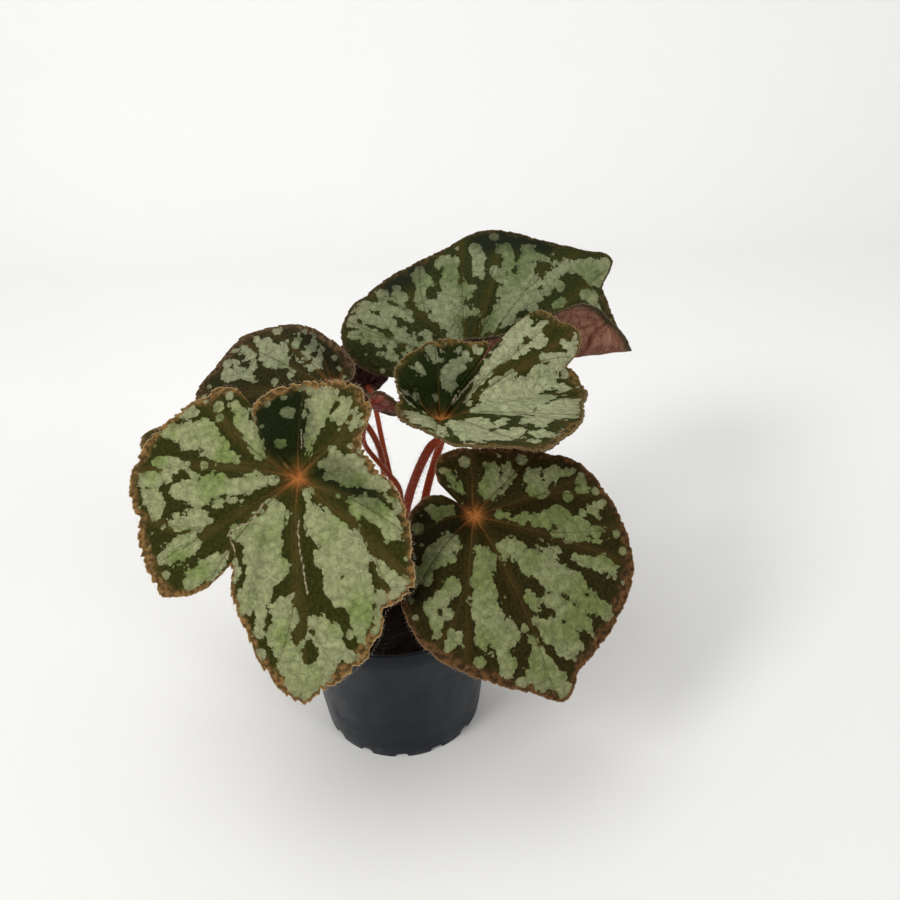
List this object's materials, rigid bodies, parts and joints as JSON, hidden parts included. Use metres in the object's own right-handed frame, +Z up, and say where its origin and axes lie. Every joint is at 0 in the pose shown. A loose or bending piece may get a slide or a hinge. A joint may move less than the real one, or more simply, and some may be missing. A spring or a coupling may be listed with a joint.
{
  "type": "potted rex begonia",
  "caption": "House plant: lopsided heart-shaped leaves with silvery blotches on red hairy stalks, rising from a short rhizome in a small round plastic nursery pot.",
  "frame": {"origin": "centre of the pot's flat underside, on the surface that it stands on", "axes": "+Z up the pot's axis; the leaves lean towards -Y, which is the front in the picture; +X is the picture's right"},
  "size_m": [0.1764, 0.1554, 0.1638],
  "materials": {
    "pot": "thin moulded charcoal plastic, satin",
    "soil": null,
    "rhizome": null,
    "leaf": null,
    "young_leaf": null,
    "stalk": null
  },
  "bodies": {
    "root": {"pot": "pot", "soil": "soil", "rhizome": "rhizome", "leaf_front_left": "leaf", "leaf_front_right": "leaf", "leaf_centre": "leaf", "leaf_back": "leaf", "leaf_back_left": "leaf", "leaf_left": "leaf", "leaf_young": "young_leaf", "leaf_bud": "young_leaf", "stalk_front_left": "stalk", "stalk_front_right": "stalk", "stalk_centre": "stalk", "stalk_back": "stalk", "stalk_back_left": "stalk", "stalk_left": "stalk", "stalk_young": "stalk", "stalk_bud": "stalk"}
  },
  "joints": []
}
